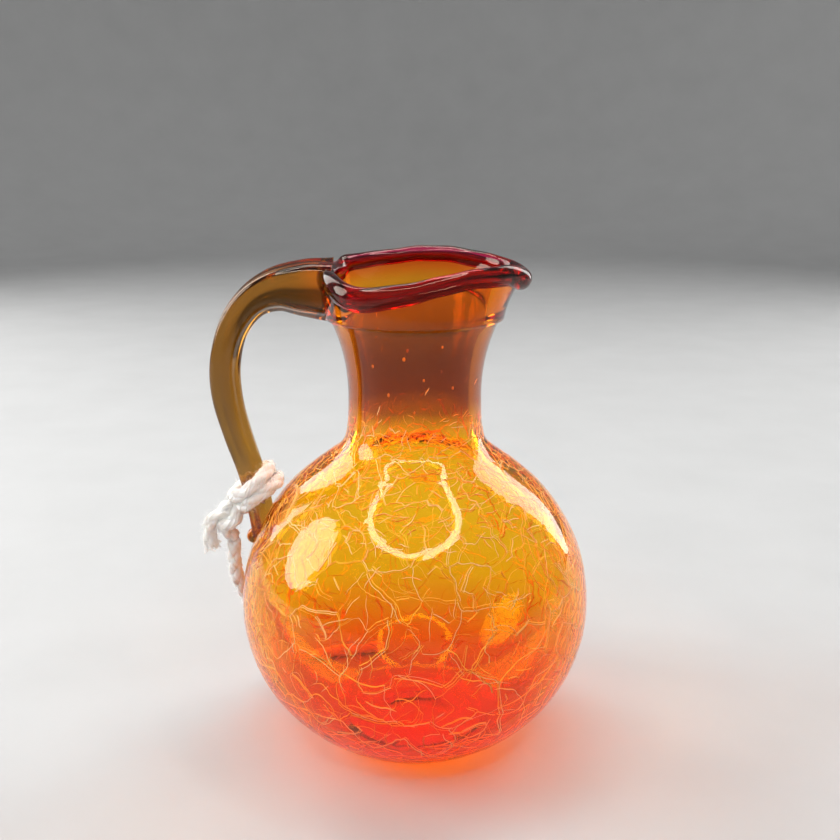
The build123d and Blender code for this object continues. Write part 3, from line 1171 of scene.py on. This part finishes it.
def add_floor():
    """A plain pale floor that curves up into a wall all round."""
    bend = np.linspace(0, math.pi / 2, 12)
    profile = [(0.02, 0.0), (0.3, 0.0)] + [
        (COVE_RADIUS - COVE_BEND * (1 - math.sin(t)), COVE_BEND * (1 - math.cos(t)))
        for t in bend] + [(COVE_RADIUS, COVE_TOP)]
    rings = revolve_line(np.array(profile), circle_angles(COVE_COLUMNS))
    faces = ring_faces(len(profile), COVE_COLUMNS, False) + [tuple(range(COVE_COLUMNS))]
    piece = add_mesh("floor", rings.reshape(-1, 3), faces)
    material, tree, shader = new_material(
        "floor_paint", {"Roughness": 0.7, "Specular IOR Level": 0.2})
    place = add_node(tree, "TexCoord", {}, {})
    grain = add_noise(tree, place, 30.0, 4.0)
    ramp = add_ramp(
        tree, grain.outputs["Fac"], [(0.0, (0.44, 0.44, 0.435)), (1.0, (0.50, 0.50, 0.495))])
    tree.links.new(ramp.outputs["Color"], shader.inputs["Base Color"])
    piece.data.materials.append(material)


def add_ring_lamp():
    """A ring-shaped lamp above and in front of the pitcher."""
    place = Vector(RING_LAMP_PLACE)
    spin = (Vector(AIM) - place).to_track_quat("-Z", "Y")
    rings = []
    for around in circle_angles(LAMP_COLUMNS):
        for turn in circle_angles(LAMP_CORNERS):
            reach = RING_LAMP_RADIUS + RING_LAMP_TUBE * math.cos(turn)
            local = Vector((
                reach * math.cos(around), reach * math.sin(around),
                RING_LAMP_TUBE * math.sin(turn)))
            rings.append(place + spin @ local)
    piece = add_mesh("ring_lamp", rings, ring_faces(LAMP_COLUMNS, LAMP_CORNERS, True))
    material, tree, _ = new_material("lamp_light", {})
    glow = add_node(tree, "Emission", {"Strength": RING_LAMP_LIGHT}, {})
    tree.links.new(glow.outputs["Emission"], tree.nodes["Material Output"].inputs["Surface"])
    piece.data.materials.append(material)


def add_area_light(name, place, size_x, size_y, power):
    """A soft box that faces the pitcher."""
    data = bpy.data.lights.new(name, "AREA")
    data.shape = "ELLIPSE"
    data.size = size_x
    data.size_y = size_y
    data.energy = power
    lamp = bpy.data.objects.new(name, data)
    lamp.location = place
    aim = Vector(SOFT_AIM) - Vector(place)
    lamp.rotation_euler = aim.to_track_quat("-Z", "Y").to_euler()
    bpy.context.scene.collection.objects.link(lamp)


def add_lights():
    """A ring lamp, soft boxes behind, at the left and on top, and a dim surround."""
    add_ring_lamp()
    add_area_light("left_box", (-0.48, 0.44, 0.36), 0.30, 0.80, 2.4)
    add_area_light("right_box", (0.50, 0.42, 0.36), 0.26, 0.80, 2.4)
    add_area_light("side_box", (-0.72, -0.02, 0.38), 0.42, 0.60, 4.4)
    add_area_light("top_box", (0.0, 0.22, 0.66), 0.60, 0.22, 1.6)
    world = bpy.data.worlds.new("surround")
    world.use_nodes = True
    background = world.node_tree.nodes["Background"]
    background.inputs["Color"].default_value = (0.94, 0.96, 1.0, 1)
    background.inputs["Strength"].default_value = 0.25
    bpy.context.scene.world = world


# ---- Put it together ----


def give(piece, material, slot, *nodes):
    """Set a piece's material, its body and the nodes that it stands for."""
    piece.data.materials.clear()
    piece.data.materials.append(material)
    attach(piece, "root")
    if nodes:
        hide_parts(*nodes)


# In the amber ramp the dark brown band round the neck, from 0.685 to 0.90 of the height, is
# partly the neck's own browner amber and partly painted shade for the dark surroundings seen
# through the neck.
amber = glass_material(
    "amber_glass_look",
    [(0.0, (0.96, 0.12, 0.015)), (0.10, (1.0, 0.21, 0.02)), (0.24, (1.0, 0.82, 0.07)),
     (0.36, (1.0, 1.0, 0.24)), (0.65, (1.0, 1.0, 0.24)), (0.685, (0.90, 0.64, 0.12)),
     (0.72, (0.46, 0.19, 0.04)), (0.82, (0.48, 0.22, 0.04)), (0.90, (0.86, 0.54, 0.08)),
     (1.0, (0.9, 0.46, 0.06))],
    low=0.0, high=TOTAL_HEIGHT,
    shares=[(0.0, (1.0, 1.0, 1.0)), (0.5, (1.0, 0.95, 0.95)), (0.75, (0.9, 0.45, 0.6)),
            (1.0, (0.65, 0.10, 0.3))],
    tint=(1.0, 0.86, 0.6), absorb=(1.0, 0.72, 0.0), density=370.0,
    streak=(1, 1, 0.3), rough=0.02)
ruby = glass_material(
    "ruby_glass_look",
    [(0.0, (0.50, 0.025, 0.085)), (1.0, (0.42, 0.016, 0.095))],
    low=lip_low[2], high=lip_high[2],
    shares=[(0.0, (1.0, 1.0, 1.0)), (1.0, (1.0, 1.0, 1.0))],
    tint=(0.9, 0.3, 0.3), absorb=(0.97, 0.10, 0.22), density=100.0,
    streak=(1, 1, 1), rough=0.07)
olive = glass_material(
    "olive_glass_look",
    [(0.0, (1.0, 1.0, 1.0)), (0.6, (0.76, 0.68, 0.62)), (1.0, (0.90, 0.80, 0.70))],
    low=45 * MM, high=106 * MM,
    shares=[(0.0, (0.50, 0.33, 0.13)), (0.3, (0.60, 0.36, 0.12)), (1.0, (1.0, 0.42, 0.07))],
    tint=(0.75, 0.6, 0.3), absorb=(0.84, 0.64, 0.10), density=240.0,
    streak=(1, 1, 0.4), rough=0.02)
cracks = fissure_material()
cotton = cotton_material()

vessel, body_surface, body_normals, cell_networks = build_vessel()
give(vessel, amber, "amber_glass", "vessel", "collar")
fissures = build_fissures(body_surface, body_normals, cell_networks)
give(fissures, cracks, "amber_glass")
give(build_lip(), ruby, "ruby_glass", "ruby_lip")
give(build_handle(), olive, "olive_glass", "handle")

wraps = spun_string("string_turns", wrap_lines(), (False, False), 31)
give(wraps, cotton, "cotton_string", "string_wraps")
knot = spun_string(
    "string_knot_and_end", [knot_line(), resample(nurbs_line(END_ROUTE), 50)],
    (False, True), 32)
give(knot, cotton, "cotton_string", "string_knot", "string_end")
tail_line = nurbs_line(TAIL_ROUTE)
tail = spun_string("string_long_end", [resample(tail_line, 130)], (False,), 33)
give(tail, cotton, "cotton_string", "string_tail")

add_floor()
add_lights()
bpy.context.scene.view_settings.view_transform = "Standard"
